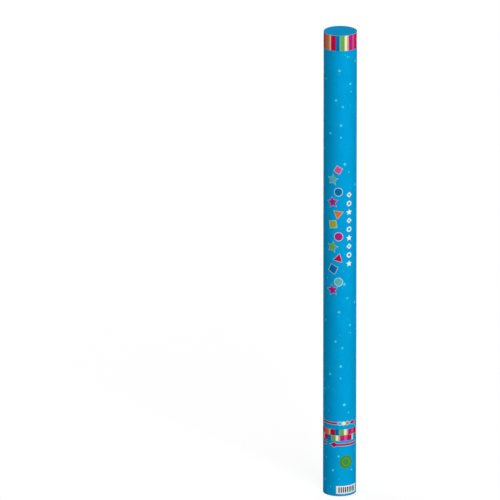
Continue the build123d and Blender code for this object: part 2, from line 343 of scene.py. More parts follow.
class PopperStage(bpy.types.PropertyGroup):
    """Camera, lights and floor."""

    elevation: turn("Elevation", "Height of the camera above the horizon", 18.0)
    distance: size("Distance", "From the camera to the popper", 20000.0)
    pixel: size("Pixel", "Size of a picture element at the popper", 1.26)
    axis_px: pixels("Axis", "Column of the picture where the popper's axis stands", 339.9)
    middle_px: pixels("Middle", "Row of the picture where the popper's middle stands", 261.9)
    picture_px: pixels("Picture", "Width and height of the picture", 500.0)
    lamp_distance: size("Lamp distance", "From each lamp to the popper", 12000.0)
    lamp_width: size("Lamp width", "Width of each lamp", 6000.0)
    lamp_height: size("Lamp height", "Height of each lamp", 8000.0)
    key_turn: turn("Key side", "How far the key lamp stands to the right of the camera", 23.0)
    key_rise: turn("Key rise", "Height of the key lamp above the horizon", 20.0)
    key_level: level("Key level", "Share of a colour that the key lamp alone shows", 1.0)
    fill_turn: turn("Fill side", "How far the fill lamp stands to the right of the camera", -120.0)
    fill_rise: turn("Fill rise", "Height of the fill lamp above the horizon", 20.0)
    fill_level: level("Fill level", "Share of a colour that the fill lamp alone shows", 0.5)
    back_turn: turn("Back side", "How far the back lamp stands to the right of the camera", 160.0)
    back_rise: turn("Back rise", "Height of the back lamp above the horizon", 20.0)
    back_level: level("Back level", "Share of a colour that the back lamp alone shows", 0.5)
    ambient: level("Ambient", "Share of a colour that the room alone shows", 0.055)
    floor_r: size("Floor", "Radius of the floor", 60000.0)
    floor_tone: level("Floor tone", "Share of light that the floor gives back", 0.15)
    floor_even: level("Floor evenness", "Share of the lamps' light on the floor that shows as white", 0.9)
    floor_shade: level("Floor shade", "Share of the shadow that shows on the pale floor", 0.2)


# Node trees


class Wire:
    """One output of a node. Sums, products and the like of wires and numbers add Math nodes to its tree."""

    def __init__(self, nodes, socket):
        self.nodes = nodes
        self.socket = socket

    def __add__(self, other):
        return self.nodes.math("ADD", self, other)

    def __sub__(self, other):
        return self.nodes.math("SUBTRACT", self, other)

    def __rsub__(self, other):
        return self.nodes.math("SUBTRACT", other, self)

    def __mul__(self, other):
        return self.nodes.math("MULTIPLY", self, other)

    def __truediv__(self, other):
        return self.nodes.math("DIVIDE", self, other)

    def __rtruediv__(self, other):
        return self.nodes.math("DIVIDE", other, self)


class Nodes:
    """Short calls that add nodes to one tree. What is fed to a node is a wire or a plain value."""

    def __init__(self, tree):
        self.tree = tree

    def feed(self, socket, value):
        if isinstance(value, Wire):
            self.tree.links.new(value.socket, socket)
        elif socket.type == "RGBA":
            socket.default_value = (*value[:3], 1.0)
        else:
            socket.default_value = value

    def add(self, kind, inputs=None, **settings):
        """New node with its settings and inputs."""
        node = self.tree.nodes.new(kind)
        for name, value in settings.items():
            setattr(node, name, value)
        for name, value in (inputs or {}).items():
            self.feed(node.inputs[name], value)
        return node

    def wires(self, node):
        """Every output of a node, by its name."""
        return {socket.name: Wire(self, socket) for socket in node.outputs}

    def get(self, kind, inputs, output=0, **settings):
        """One output of a new node."""
        return Wire(self, self.add(kind, inputs, **settings).outputs[output])

    def math(self, operation, *operands):
        return self.get("ShaderNodeMath", dict(enumerate(operands)), operation=operation)

    def mix(self, mask, under, over, blend="MIX"):
        inputs = {mix_mask: mask, mix_under: under, mix_over: over}
        return self.get("ShaderNodeMix", inputs, mix_result, data_type="RGBA", blend_type=blend)

    def fade(self, value, low, high, at_low=0.0, at_high=1.0):
        """Smooth step of a value, from one level at its low limit to another at its high one."""
        inputs = {"Value": value, "From Min": low, "From Max": high, "To Min": at_low, "To Max": at_high}
        return self.get("ShaderNodeMapRange", inputs, interpolation_type="SMOOTHSTEP")

    def noise(self, vector, scale, detail):
        return self.get("ShaderNodeTexNoise", {"Vector": vector, "Scale": scale, "Detail": detail})

    def stretch(self, vector, along):
        return self.get("ShaderNodeMapping", {"Vector": vector, "Scale": (1.0, 1.0, along)})

    def split(self, vector):
        return self.wires(self.add("ShaderNodeSeparateXYZ", {"Vector": vector}))

    def use(self, group, inputs):
        """Every output of a node group that is placed in the tree with its own values."""
        return self.wires(self.add("ShaderNodeGroup", inputs, node_tree=group))


class Group(Nodes):
    """New node group, whose inputs are found by name: a vector where it has no default, else a number."""

    def __init__(self, name, inputs):
        super().__init__(bpy.data.node_groups.new(name, "ShaderNodeTree"))
        for label, default in inputs.items():
            kind = "NodeSocketVector" if default is None else "NodeSocketFloat"
            socket = self.tree.interface.new_socket(name=label, in_out="INPUT", socket_type=kind)
            if default is not None:
                socket.default_value = default
        self.given = self.wires(self.add("NodeGroupInput"))

    def __getitem__(self, name):
        return self.given[name]

    def put_out(self, **made):
        """Makes the outputs, numbers unless the name says Color, and gives back the finished group."""
        for label in made:
            kind = "NodeSocketColor" if label == "Color" else "NodeSocketFloat"
            self.tree.interface.new_socket(name=label, in_out="OUTPUT", socket_type=kind)
        self.add("NodeGroupOutput", made)
        return self.tree


@cache
def motif_group():
    """Star, polygon or dot in ink, repeated round the tube and along it.

    From its middle, a point of the paper has a distance and a bearing. The bearing is folded into half of
    one arm, where the edge is the straight line from the arm's tip to the notch beside it. On that line
    the distance, times the bearing's cosine plus a slope times its sine, is the tip's distance. What the
    product has over the tip's distance says how far outside the shape a point lies.
    """
    group = Group("printed motif", {
        "Angle": 0.0, "Height": 0.0, "At Angle": 0.0, "At Height": 0.0, "Size": 1.0, "Turn": 0.0,
        "Arms": 5.0, "Notch": 0.5, "Rim": rim_width,
        "Repeat Angle": whole_turn_deg, "Repeat Height": no_repeat,
    })

    def offset(value, at, repeat):
        half = group[repeat] / 2
        return group.math("WRAP", group[value] - group[at], half, half * -1)

    across = offset("Angle", "At Angle", "Repeat Angle") * mm_per_degree
    along = offset("Height", "At Height", "Repeat Height")
    spot = group.get("ShaderNodeCombineXYZ", {"X": across, "Y": along})
    distance = group.get("ShaderNodeVectorMath", {0: spot}, "Value", operation="LENGTH")
    bearing = group.math("ARCTAN2", across, along) + group.math("RADIANS", group["Turn"])
    half_arm = pi / group["Arms"]
    folded = group.math("PINGPONG", bearing, half_arm)
    notch_along = group["Notch"] * group.math("COSINE", half_arm)
    notch_across = group["Notch"] * group.math("SINE", half_arm)
    slope = (1 - notch_along) / notch_across
    edge = slope * group.math("SINE", folded) + group.math("COSINE", folded)
    outside = distance * edge - group["Size"]
    return group.put_out(
        Fill=group.fade(outside, ink_soft, -ink_soft),
        Rim=group.fade(outside - group["Rim"], ink_soft, -ink_soft),
    )


@cache
def band_group():
    """Band of ink between two limits, with soft edges."""
    group = Group("printed band", {"Value": 0.0, "Low": 0.0, "High": 1.0, "Soft": ink_soft})
    inside = group.math("MINIMUM", group["Value"] - group["Low"], group["High"] - group["Value"])
    return group.put_out(Mask=group.fade(inside / group["Soft"], -1.0, 1.0))


@cache
def stripes_group(inks):
    """Run of upright stripes: the angle past the first stripe, over the run's length, picks the colour."""
    group = Group("printed stripes", {"Angle": 0.0, "From": 0.0})
    widths = np.array([width for name, width in stripes])
    run = float(widths.sum())
    starts = (np.cumsum(widths) - widths) / run
    place = group.math("FLOORED_MODULO", group["Angle"] - group["From"], run) / run
    ramp = group.add("ShaderNodeValToRGB", {"Fac": place})
    ramp.color_ramp.interpolation = "CONSTANT"
    elements = ramp.color_ramp.elements
    elements.remove(elements[1])
    for index, (name, width) in enumerate(stripes):
        element = elements.new(float(starts[index])) if index else elements[0]
        element.color = (*getattr(inks, name), 1.0)
    return group.put_out(Color=group.wires(ramp)["Color"])


@cache
def arrow_group():
    """Arrow round the tube: a head that widens from the tip and narrows to a shaft, with a gap for dots.

    The way back from the tip is measured along the paper, and the half width there is compared with the
    distance from the arrow's centre line. The rim is the same shape grown by the width of the outline.
    """
    group = Group("printed arrow", {"Angle": 0.0, "Height": 0.0, "Rim": arrow_rim_width, **barrel_arrow})
    turned = (group["Tip"] - group["Angle"]) * group["Way"]
    back_deg = group.math("WRAP", turned, group["Period"] - ahead_of_tip_deg, -ahead_of_tip_deg)
    back, head, nock, length = (
        part * mm_per_degree for part in (back_deg, group["Head"], group["Nock"], group["Length"])
    )
    head_half = group["Head Half"] * group.math("MINIMUM", back / head, (head + nock - back) / nock)
    on_shaft = group.math("GREATER_THAN", back, head)
    shaft_half = on_shaft * (group["Shaft Half"] - no_half_width) + no_half_width
    aside = group.math("ABSOLUTE", group["Height"] - group["Centre"])
    in_width = group.math("MAXIMUM", head_half, shaft_half) - aside
    off_gap_deg = group.math("MAXIMUM", back_deg - group["Gap To"], group["Gap From"] - back_deg)
    in_length = group.math("MINIMUM", length - back, off_gap_deg * mm_per_degree)
    inside = group.math("MINIMUM", in_width, in_length)
    return group.put_out(
        Fill=group.fade(inside, -ink_soft, ink_soft),
        Rim=group.fade(inside + group["Rim"], -ink_soft, ink_soft),
    )


@cache
def grain_group():
    """Fibre of paper and board: cloudy tone, fine strands for the gloss and a height for the bump."""
    group = Group("paper fibre", {"Vector": None, "Cloud": 60.0, "Strand": 900.0, "Depth": 0.1})
    clouds = group.noise(group["Vector"], group["Cloud"], detail=4.0)
    strands = group.noise(group.stretch(group["Vector"], along=0.3), group["Strand"], detail=5.0)
    darkest = 1 - group["Depth"]
    tone = group.fade(clouds, *tone_span, darkest) * group.fade(strands, *tone_span, darkest)
    return group.put_out(Tone=tone, Gloss=strands, Height=strands)


@cache
def winding_group():
    """Spiral joints of a wound tube: turns round the axis plus height over pitch, and its nearest whole.

    The pitch and the joint's width are in millimetres.
    """
    group = Group("board winding", {"Vector": None, "Pitch": 62.0, "Width": 0.5})
    place = group.split(group["Vector"])
    turns = group.math("ARCTAN2", place["Y"], place["X"]) / (2 * pi) + place["Z"] / mm / group["Pitch"]
    to_joint = group.math("PINGPONG", turns, 0.5) * group["Pitch"]
    return group.put_out(
        Line=group.fade(to_joint, group["Width"], 0.0),
        Turn=group.math("FRACT", turns),
    )


@cache
def wear_group():
    """Wear of a cut edge: bare paper within an uneven width of either end."""
    group = Group("edge wear", {
        "Vector": None, "Height": 0.0, "Low": 0.0, "High": 1.0, "Width": 0.5, "Ragged": 420.0,
    })
    nearest = group.math("MINIMUM", group["Height"] - group["Low"], group["High"] - group["Height"])
    ragged = group.noise(group["Vector"], group["Ragged"], detail=4.0)
    width = group["Width"] * group.fade(ragged, *wear_span, wear_least_share)
    return group.put_out(Mask=group.fade(nearest / width, 1.0, wear_soft_share))


@cache
def moulding_group():
    """Moulded plastic: faint clouds in the tone and gloss, and fine grain as a height for the bump."""
    group = Group("moulded grain", {"Vector": None, "Cloud": 90.0, "Fine": 2600.0, "Depth": 0.06})
    clouds = group.noise(group["Vector"], group["Cloud"], detail=3.0)
    fine = group.noise(group["Vector"], group["Fine"], detail=2.0)
    tone = group.fade(clouds, *tone_span, 1 - group["Depth"])
    return group.put_out(Tone=tone, Gloss=clouds, Height=fine)


@cache
def brushed_group():
    """Turned metal: lines round the axis, as noise that changes with height and hardly with angle."""
    group = Group("turned lines", {"Vector": None, "Fine": 90.0, "Depth": 0.14})
    lines = group.noise(group.stretch(group["Vector"], along=60.0), group["Fine"], detail=4.0)
    return group.put_out(Tone=group.fade(lines, *tone_span, 1 - group["Depth"]), Gloss=lines)


# Materials


def fresh_tree(owner):
    """Emptied node tree of a material or a world."""
    owner.use_nodes = True
    owner.node_tree.nodes.clear()
    return owner.node_tree


def record_colour(slot):
    """Colour that the record gives to a material slot."""
    materials = frame["record"]["materials"]
    return next(tuple(entry["base_color"]) for entry in materials if entry["slot"] == slot)


class Finish(Nodes):
    """Nodes of one new material: its coordinates, its effects and the shader that everything feeds."""

    def __init__(self, name):
        self.material = bpy.data.materials.new(name)
        super().__init__(fresh_tree(self.material))
        self.shader = self.add("ShaderNodeBsdfPrincipled")
        self.add("ShaderNodeOutputMaterial", {"Surface": self.wires(self.shader)["BSDF"]})
        self.place = self.wires(self.add("ShaderNodeTexCoord"))

    def effect(self, group, **inputs):
        """Every output of a node group that follows the object's own coordinates."""
        return self.use(group, {"Vector": self.place["Object"], **inputs})

    def surface(self, colour, tone, gloss, roughness, span=tone_span, specular=0.5, metallic=0.0):
        """Feeds the shader a colour darkened by a tone, and a roughness that follows a gloss's span."""
        inputs = self.shader.inputs
        grey = self.get("ShaderNodeCombineColor", {"Red": tone, "Green": tone, "Blue": tone})
        self.feed(inputs["Base Color"], self.mix(1.0, colour, grey, "MULTIPLY"))
        self.feed(inputs["Roughness"], self.fade(gloss, *span, *roughness))
        inputs["Specular IOR Level"].default_value = specular
        inputs["Metallic"].default_value = metallic

    def relief(self, height, depth):
        """Feeds a height to the shader as a bump of that depth."""
        bump = self.get("ShaderNodeBump", {"Height": height, "Strength": 1.0, "Distance": depth})
        self.feed(self.shader.inputs["Normal"], bump)


class PrintedPaper(Finish):
    """Coated paper with layers of ink, each laid over those before it.

    A place on the paper is an angle in degrees, from the front, and a height in millimetres.
    """

    def __init__(self, name, inks):
        super().__init__(name)
        self.inks = inks
        across_along = self.split(self.place["UV"])
        self.angle = across_along["X"] * whole_turn_deg - half_turn_deg
        self.height = across_along["Y"] / mm
        self.colour = tuple(inks.ground)

    def lay(self, mask, ink):
        """Lays an ink, by its name, or a wire's colours where the mask is 1."""
        colour = tuple(getattr(self.inks, ink)) if isinstance(ink, str) else ink
        self.colour = self.mix(mask, self.colour, colour)

    def lay_shape(self, shape, ink, rim="outline"):
        """Lays a shape's rim, then its fill."""
        self.lay(shape["Rim"], rim)
        self.lay(shape["Fill"], ink)

    def band(self, value, low, high, soft=ink_soft):
        """Mask between two limits of an angle or a height."""
        return self.use(band_group(), {"Value": value, "Low": low, "High": high, "Soft": soft})["Mask"]

    def patch(self, angles, heights):
        """Mask of a rectangle."""
        return self.band(self.angle, *angles) * self.band(self.height, *heights)

    def motif(self, kind, angle, height, radius, turned=0.0, repeat_deg=whole_turn_deg, repeat=no_repeat):
        """Masks of a shape's fill and rim."""
        arms, notch = shape_arms[kind]
        return self.use(motif_group(), {
            "Angle": self.angle, "Height": self.height, "At Angle": angle, "At Height": height,
            "Size": radius, "Turn": turned, "Arms": arms, "Notch": notch,
            "Repeat Angle": repeat_deg, "Repeat Height": repeat,
        })

    def specks(self):
        """Fine scattered dots, round the points of a cell pattern, some of them fainter than others."""
        inputs = {"Vector": self.place["Object"], "Scale": specks_per_metre}
        cells = self.wires(self.add("ShaderNodeTexVoronoi", inputs))
        dot = self.fade(cells["Distance"], speck_edge_share, speck_core_share)
        chance = self.get("ShaderNodeSeparateColor", {"Color": cells["Color"]})
        self.lay(dot * self.fade(chance, *speck_span, 0.0, speck_strength_share), "star")

    def stars(self, places, radius, repeat):
        """Stars at their places, each turned a little more than the one before it."""
        for number, (angle, height, share) in enumerate(places):
            turned = number * star_turn_deg
            star = self.motif("star", angle, height, radius * share, turned, star_repeat_deg, repeat)
            self.lay(star["Fill"], "star")

    def stripes(self, low, high, first_deg):
        """Upright stripes between two heights."""
        colours = self.use(stripes_group(self.inks), {"Angle": self.angle, "From": first_deg})["Color"]
        self.lay(self.band(self.height, low, high), colours)

    def arrow(self, values):
        """Turning arrow with its pale rim."""
        shape = self.use(arrow_group(), {"Angle": self.angle, "Height": self.height, **values})
        self.lay_shape(shape, "crimson")

    def coat(self, paper, low, high):
        """Bares the worn and lapped edges, then gives the print its fibre, faint winding and dull coat."""
        roughness = (0.36, 0.48)
        wear = self.effect(wear_group(), Height=self.height, Low=low / mm, High=high / mm, Width=wear_width)
        self.lay(wear["Mask"], "white")
        self.lay(self.band(self.angle, degrees(paper.lap_at), half_turn_deg, lap_soft_deg), "white")
        fibre = self.effect(grain_group(), Cloud=55.0, Depth=0.06)
        winding = self.effect(winding_group(), Width=1.2)
        self.surface(self.colour, fibre["Tone"], fibre["Gloss"], roughness, gloss_span, specular=0.005)
        self.relief(fibre["Height"] - winding["Line"] * paper_joint_share, paper_relief)
        return self.material


def barrel_print(inks, paper):
    """Barrel's print: stars, party shapes, a white row, stripes at both ends and the upper arrow."""
    sheet = PrintedPaper("barrel print", inks)
    low, high = barrel_low.z / mm, barrel_high.z / mm
    sheet.specks()
    sheet.stars(barrel_stars, paper.star_size / mm, barrel_star_repeat)
    for kind, ink, angle, height, radius, turned in party_shapes:
        sheet.lay_shape(sheet.motif(kind, angle, height, radius, turned), ink)
    on_row = sheet.band(sheet.height, *white_row_span)
    for kind, height, radius, hole in white_row:
        shape = sheet.motif(kind, white_row_deg, height, radius, repeat=white_row_repeat)["Fill"]
        if hole:
            shape = shape - sheet.motif(kind, white_row_deg, height, hole, repeat=white_row_repeat)["Fill"]
        sheet.lay(shape * on_row, "white")
    sheet.stripes(high - paper.top_band / mm, high, stripes_from_deg)
    sheet.stripes(low, low + paper.barrel_row / mm, stripes_from_deg)
    sheet.arrow(barrel_arrow)
    for ink, angle in arrow_dots:
        dot = sheet.motif(
            "dot", angle, barrel_arrow["Centre"], arrow_dot_size, repeat_deg=barrel_arrow["Period"]
        )
        sheet.lay_shape(dot, ink)
    return sheet.coat(paper, barrel_low.z, barrel_high.z)


def grip_print(inks, paper):
    """Grip's print: stars, stripes at the turn line, the lower arrows, a spot and a label of bars."""
    sheet = PrintedPaper("grip print", inks)
    high = grip_high.z / mm
    sheet.specks()
    sheet.stars(grip_stars, paper.star_size / mm, 2 * high)
    sheet.stripes(high - paper.grip_row / mm, high, stripes_from_deg + grip_stripes_shift_deg)
    sheet.arrow(grip_arrow)
    sheet.lay(sheet.motif("dot", spot_deg, spot_height, spot_size)["Fill"], "leaf")
    sheet.lay_shape(sheet.motif("dot", spot_deg, spot_height, spot_size / 2), "leaf", rim="green")
    sheet.lay(sheet.patch(label_deg, label_heights), "white")
    bars = sheet.patch((bars_from_deg, bars_to_deg), bars_heights)
    past_bar = sheet.math("FLOORED_MODULO", sheet.angle - bars_from_deg, bar_pitch_deg)
    sheet.lay(bars * sheet.math("LESS_THAN", past_bar, bar_pitch_deg * bar_share), "bar")
    return sheet.coat(paper, grip_low.z, grip_high.z)


def cap_paper(inks):
    """Dull card of the muzzle's disc."""
    roughness = (0.48, 0.62)
    finish = Finish("cap card")
    fibre = finish.effect(grain_group(), Cloud=90.0, Depth=0.1)
    finish.surface(tuple(inks.cap), fibre["Tone"], fibre["Gloss"], roughness, gloss_span, specular=0.002)
    finish.relief(fibre["Height"], card_relief)
    return finish.material


def board(name, colour, roughness):
    """Grey-brown wound board: fibre, and plies that lighten a little from one spiral joint to the next."""
    joint_tone = 0.6
    ply_tone = 0.94
    finish = Finish(name)
    fibre = finish.effect(grain_group(), Cloud=120.0, Strand=700.0, Depth=0.3)
    winding = finish.effect(winding_group(), Width=0.6)
    shadow = finish.fade(winding["Line"], 0.0, 1.0, 1.0, joint_tone)
    tint = finish.fade(winding["Turn"], 0.0, 1.0, ply_tone)
    tone = fibre["Tone"] * shadow * tint
    finish.surface(colour, tone, fibre["Gloss"], roughness, gloss_span, specular=0.2)
    finish.relief(fibre["Height"] - winding["Line"] * board_joint_share, board_relief)
    return finish.material


def plastic(name, colour, roughness):
    """Moulded plastic."""
    finish = Finish(name)
    grain = finish.effect(moulding_group())
    finish.surface(colour, grain["Tone"], grain["Gloss"], roughness)
    finish.relief(grain["Height"], plastic_relief)
    return finish.material


def rubber(name, colour, roughness):
    """Black rubber with a dusty bloom."""
    finish = Finish(name)
    grain = finish.effect(moulding_group(), Cloud=400.0, Depth=0.4)
    finish.surface(colour, grain["Tone"], grain["Gloss"], roughness)
    finish.relief(grain["Height"], rubber_relief)
    return finish.material


def metal(name, colour, roughness):
    """Turned or rolled metal with lines round the axis."""
    finish = Finish(name)
    lines = finish.effect(brushed_group())
    finish.surface(colour, lines["Tone"], lines["Gloss"], roughness, metallic=1.0)
    return finish.material


def foam(name, colour):
    """Pale foam: open cells as pits, duller towards their bottoms, where painted shade darkens them."""
    # Tone of the painted shade at the bottom of a foam pit
    pit_shade = 0.72
    roughness = (0.98, 0.85)
    finish = Finish(name)
    inputs = {"Vector": finish.place["Object"], "Scale": foam_cells_per_metre}
    cells = finish.get("ShaderNodeTexVoronoi", inputs, "Distance")
    # Painted shade: the colour darkens towards each pit's bottom
    tone = finish.fade(cells, *pit_shade_span, pit_shade)
    finish.surface(colour, tone, cells, roughness, pit_gloss_span, specular=0.1)
    finish.relief(cells, foam_relief)
    return finish.material


def tissue(name, colour):
    """Thin coloured tissue: soft creases and fibre."""
    crease_scale = 130.0
    roughness = (0.7, 0.9)
    finish = Finish(name)
    fibre = finish.effect(grain_group(), Cloud=260.0, Strand=1600.0, Depth=0.25)
    creases = finish.noise(finish.stretch(finish.place["Object"], along=3.0), crease_scale, detail=2.0)
    finish.surface(colour, fibre["Tone"], fibre["Gloss"], roughness, gloss_span, specular=0.15)
    finish.relief(creases, tissue_relief)
    return finish.material


# Finish of each slot whose solids keep their shape, with the roughness at both ends of its gloss
solid_finishes = {
    "tube_board": (board, (0.78, 0.95)),
    "base_plastic": (plastic, (0.32, 0.5)),
    "bottle_plastic": (plastic, (0.12, 0.24)),
    "valve_plastic": (plastic, (0.35, 0.5)),
    "cam_plastic": (plastic, (0.35, 0.5)),
    "stopper_plastic": (plastic, (0.3, 0.45)),
    "washer_plastic": (plastic, (0.3, 0.4)),
    "rubber": (rubber, (0.6, 0.85)),
    "band_metal": (metal, (0.22, 0.38)),
    "pin_steel": (metal, (0.12, 0.25)),
    "ring_steel": (metal, (0.25, 0.42)),
}


# Surfaces


def put_mesh(name, points, faces, material):
    """New object at the origin with its place in its mesh, smoothly shaded."""
    mesh = bpy.data.meshes.new(name)
    mesh.from_pydata(points.reshape(-1, 3).tolist(), [], faces)
    mesh.materials.append(material)
    mesh.shade_smooth()
    piece = bpy.data.objects.new(name, mesh)
    bpy.context.scene.collection.objects.link(piece)
    return piece


def grid_corners(rows, columns, rows_close):
    """Rows and columns of a grid's quads, corner by corner in outward order. Its columns go right round."""
    first_rows = np.arange(rows if rows_close else rows - 1)
    row, column = np.meshgrid(first_rows, np.arange(columns), indexing="ij")
    above, beside = row + 1, column + 1
    corner_rows = np.stack([row, row, above, above], axis=-1).reshape(-1, 4)
    corner_columns = np.stack([column, beside, beside, column], axis=-1).reshape(-1, 4)
    return corner_rows, corner_columns


def round_points(radius, height, angles):
    """Points round the axis, with angle 0 at the front.

    X is the radius times the angle's sine, Y is minus the radius times its cosine, and Z is the height.
    """
    return np.stack(np.broadcast_arrays(radius * np.sin(angles), -radius * np.cos(angles), height), axis=-1)


def wall_section(inner_r, outer_r, low, high, edge, rows):
    """Closed section of a thin wall: up the outside, over the lip, down the inside and back under.

    Both ends are rounded by a quarter circle at each side.
    """
    quarter = np.linspace(0, pi / 2, lip_points)
    rise = np.linspace(low + edge, high - edge, rows)
    mid_out, mid_in, top, foot = outer_r - edge, inner_r + edge, high - edge, low + edge
    ins, outs = quarter[:-1], quarter[1:]
    radius = np.concatenate([
        np.full(rows, outer_r), mid_out + edge * np.cos(outs), mid_in - edge * np.sin(ins),
        np.full(rows, inner_r), mid_in - edge * np.cos(outs), mid_out + edge * np.sin(ins),
    ])
    height = np.concatenate([
        rise, top + edge * np.sin(outs), top + edge * np.cos(ins),
        rise[::-1], foot - edge * np.sin(outs), foot - edge * np.cos(ins),
    ])
    return radius, height


def lap_rise(angles, paper):
    """Height of the paper over its plain radius: it climbs over its own edge and drops at its end.

    The climb is a smooth step: three times the square of the share that is climbed, less twice its cube.
    """
    climb_share = np.clip((angles - paper.lap_at + paper.lap_run) / paper.lap_run, 0, 1)
    return paper.lap * np.where(angles <= paper.lap_at, 3 * climb_share**2 - 2 * climb_share**3, 0)


def wrap_piece(name, low, high, paper, material):
    """Printed sleeve: a thin wall's section carried round the axis, with its lapped edge at the back.

    The map of the paper has turns round the tube across it, from the back, and height in metres along it.
    """
    inner_r = board_r + paper_clearance
    radius, height = wall_section(inner_r, body_r, low, high, paper.edge, paper.wall_rows)
    even = np.linspace(-pi, pi, paper.columns, endpoint=False)
    angles = np.union1d(even, paper.lap_at + lap_columns)
    rise = (radius - inner_r)[:, None] / (body_r - inner_r) * lap_rise(angles, paper)[None, :]
    points = round_points(radius[:, None] + rise, height[:, None], angles[None, :])
    rows, columns = len(radius), len(angles)
    corner_rows, corner_columns = grid_corners(rows, columns, rows_close=True)
    faces = corner_rows % rows * columns + corner_columns % columns
    piece = put_mesh(name, points, faces.tolist(), material)
    across = np.append(angles, pi)[corner_columns] / (2 * pi) + 0.5
    along = height[corner_rows % rows]
    sheet = piece.data.uv_layers.new(name="paper")
    sheet.uv.foreach_set("vector", np.stack([across, along], axis=-1).astype(np.float32).ravel())
    return piece


def lathe_piece(name, radius, height, columns, material, uneven=None):
    """Surface of revolution of a section that ends on the axis, and on a solid starts there too.

    Each point of the section goes round as a ring, and one on the axis stays a single point.
    """
    angles = np.linspace(-pi, pi, columns, endpoint=False)[None, :]
    solid = radius[0] == 0
    rings = slice(1 if solid else 0, -1)
    points = round_points(radius[rings, None], height[rings, None], angles)
    if uneven is not None:
        points = points * uneven(angles, height[rings, None])
    rows = len(points)
    corner_rows, corner_columns = grid_corners(rows, columns, rows_close=False)
    faces = (corner_rows * columns + corner_columns % columns).tolist()
    column = np.arange(columns)
    beside = (column + 1) % columns
    last, top, foot = (rows - 1) * columns, rows * columns, rows * columns + 1
    faces += np.stack([last + column, last + beside, np.full(columns, top)], axis=-1).tolist()
    ends = [[0, 0, height[-1]]]
    if solid:
        faces += np.stack([np.full(columns, foot), beside, column], axis=-1).tolist()
        ends += [[0, 0, height[0]]]
    return put_mesh(name, np.concatenate([points.reshape(-1, 3), ends]), faces, material)


def disc_section(outer_r, low, high, edge, crown, rings):
    """Half section of a rounded disc: out along the bottom, up its side and back over a slightly domed top.

    A face falls from its crown at the axis, by the square of the distance from it, to nothing where its rim
    starts. The rims are quarter circles.
    """
    quarter = np.linspace(0, pi / 2, rim_points)
    flat_r = outer_r - edge
    flat = np.linspace(0, flat_r, rings)
    dome = crown * (1 - (flat / flat_r) ** 2)
    foot, top = low + crown + edge, high - crown - edge
    radius = np.concatenate([
        flat, flat_r + edge * np.sin(quarter[1:]), flat_r + edge * np.cos(quarter), flat[-2::-1],
    ])
    height = np.concatenate([
        foot - edge - dome, foot - edge * np.cos(quarter[1:]),
        top + edge * np.sin(quarter), (top + edge + dome)[-2::-1],
    ])
    return radius, height


def bundle_places():
    """Places of the bundles in running order, before their tiers are turned, and a bundle's size.

    The rows share out the tube's depth between the end rows' insets. The bundles of the middle row, the
    widest, share out the tube's chord along that row's faces.
    """
    row_count, widest = len(bundle_rows), max(bundle_rows)
    thick = (2 * loose_r - 2 * end_row_inset - (row_count - 1) * bundle_gap) / row_count
    chord = 2 * (loose_r**2 - (thick / 2) ** 2) ** 0.5
    wide = (chord - (widest - 1) * bundle_gap) / widest
    x = np.concatenate([(np.arange(n) - (n - 1) / 2) * (wide + bundle_gap) for n in bundle_rows])
    row = np.repeat(np.arange(row_count), bundle_rows)
    y = (row - (row_count - 1) / 2) * (thick + bundle_gap)
    return np.tile(x, tiers), np.tile(y, tiers), np.repeat(np.arange(tiers), len(x)), wide, thick


def leaf_faces():
    """Quads of one closed slip: its front, its back the other way round, and the strip along its edge."""
    behind = slip_rows * slip_columns
    index = np.arange(behind).reshape(slip_rows, slip_columns)
    corners = [index[:-1, :-1], index[:-1, 1:], index[1:, 1:], index[1:, :-1]]
    front = np.stack(corners, axis=-1).reshape(-1, 4)
    border = np.concatenate([index[0, :-1], index[:-1, -1], index[-1, :0:-1], index[:0:-1, 0]])
    after = np.roll(border, -1)
    strip = np.stack([after, border, border + behind, after + behind], axis=-1)
    return np.concatenate([front, front[:, ::-1] + behind, strip])


def confetti_mesh(bundles, load, low, high, draw):
    """Points and faces of every slip of the given bundles.

    A slip is a flat sheet whose distance out of flat is a sine along it plus a sine across it. Slips lie
    side by side through the bundle, each cut a little short and set a little off the middle. The points'
    axes are the bundle, the slip, its two sides, the rows along it and the columns across it.
    """
    x, y, tier, wide, thick = bundle_places()
    leaves = load.leaves
    pitch = (high - low + tier_gap) / tiers
    tall = pitch - tier_gap
    drawn = (2, len(bundles), leaves, 1, 1, 1)
    trim = load.leaf_trim * draw.random(drawn)
    slack = draw.uniform(-0.5, 0.5, drawn) * trim
    phase = draw.uniform(0, 2 * pi, drawn)
    across_share = np.linspace(-0.5, 0.5, slip_columns)
    along_share = np.linspace(-0.5, 0.5, slip_rows)[:, None]
    side_share = np.array([-0.5, 0.5])[:, None, None]
    place = (np.arange(leaves) - (leaves - 1) / 2)[:, None, None, None] * thick / leaves
    wave = np.sin(2 * pi * slip_waves * along_share + phase[0])
    cross_wave = cross_wave_share * np.sin(2 * pi * across_share + phase[1])
    bundle = bundles[:, None, None, None, None]
    across = x[bundle] + across_share * (wide - trim[0]) + slack[0]
    out = y[bundle] + place + load.leaf_wave * (wave + cross_wave) + side_share * load.leaf_t
    up = low + tall / 2 + tier[bundle] * pitch + along_share * (tall - trim[1]) + slack[1]
    angle = np.radians(tier_turn_deg * tier[bundle])
    turned_x = across * np.cos(angle) - out * np.sin(angle)
    turned_y = across * np.sin(angle) + out * np.cos(angle)
    points = np.stack(np.broadcast_arrays(turned_x, turned_y, up), axis=-1)
    first = np.arange(len(bundles) * leaves)[:, None, None] * (2 * slip_rows * slip_columns)
    return points, (first + leaf_faces()).reshape(-1, 4).tolist()


# Stage


def seen_rays(nodes):
    """Mask of the rays that show the background: straight to the camera, by gloss or through glass."""
    path = nodes.wires(nodes.add("ShaderNodeLightPath"))
    direct = nodes.math("MAXIMUM", path["Is Camera Ray"], path["Is Glossy Ray"])
    return nodes.math("MAXIMUM", direct, path["Is Transmission Ray"])


def lamp_settings(stage):
    """Turn, rise and level of each lamp."""
    return {
        name: tuple(getattr(stage, f"{name}_{setting}") for setting in ("turn", "rise", "level"))
        for name in ("key", "fill", "back")
    }


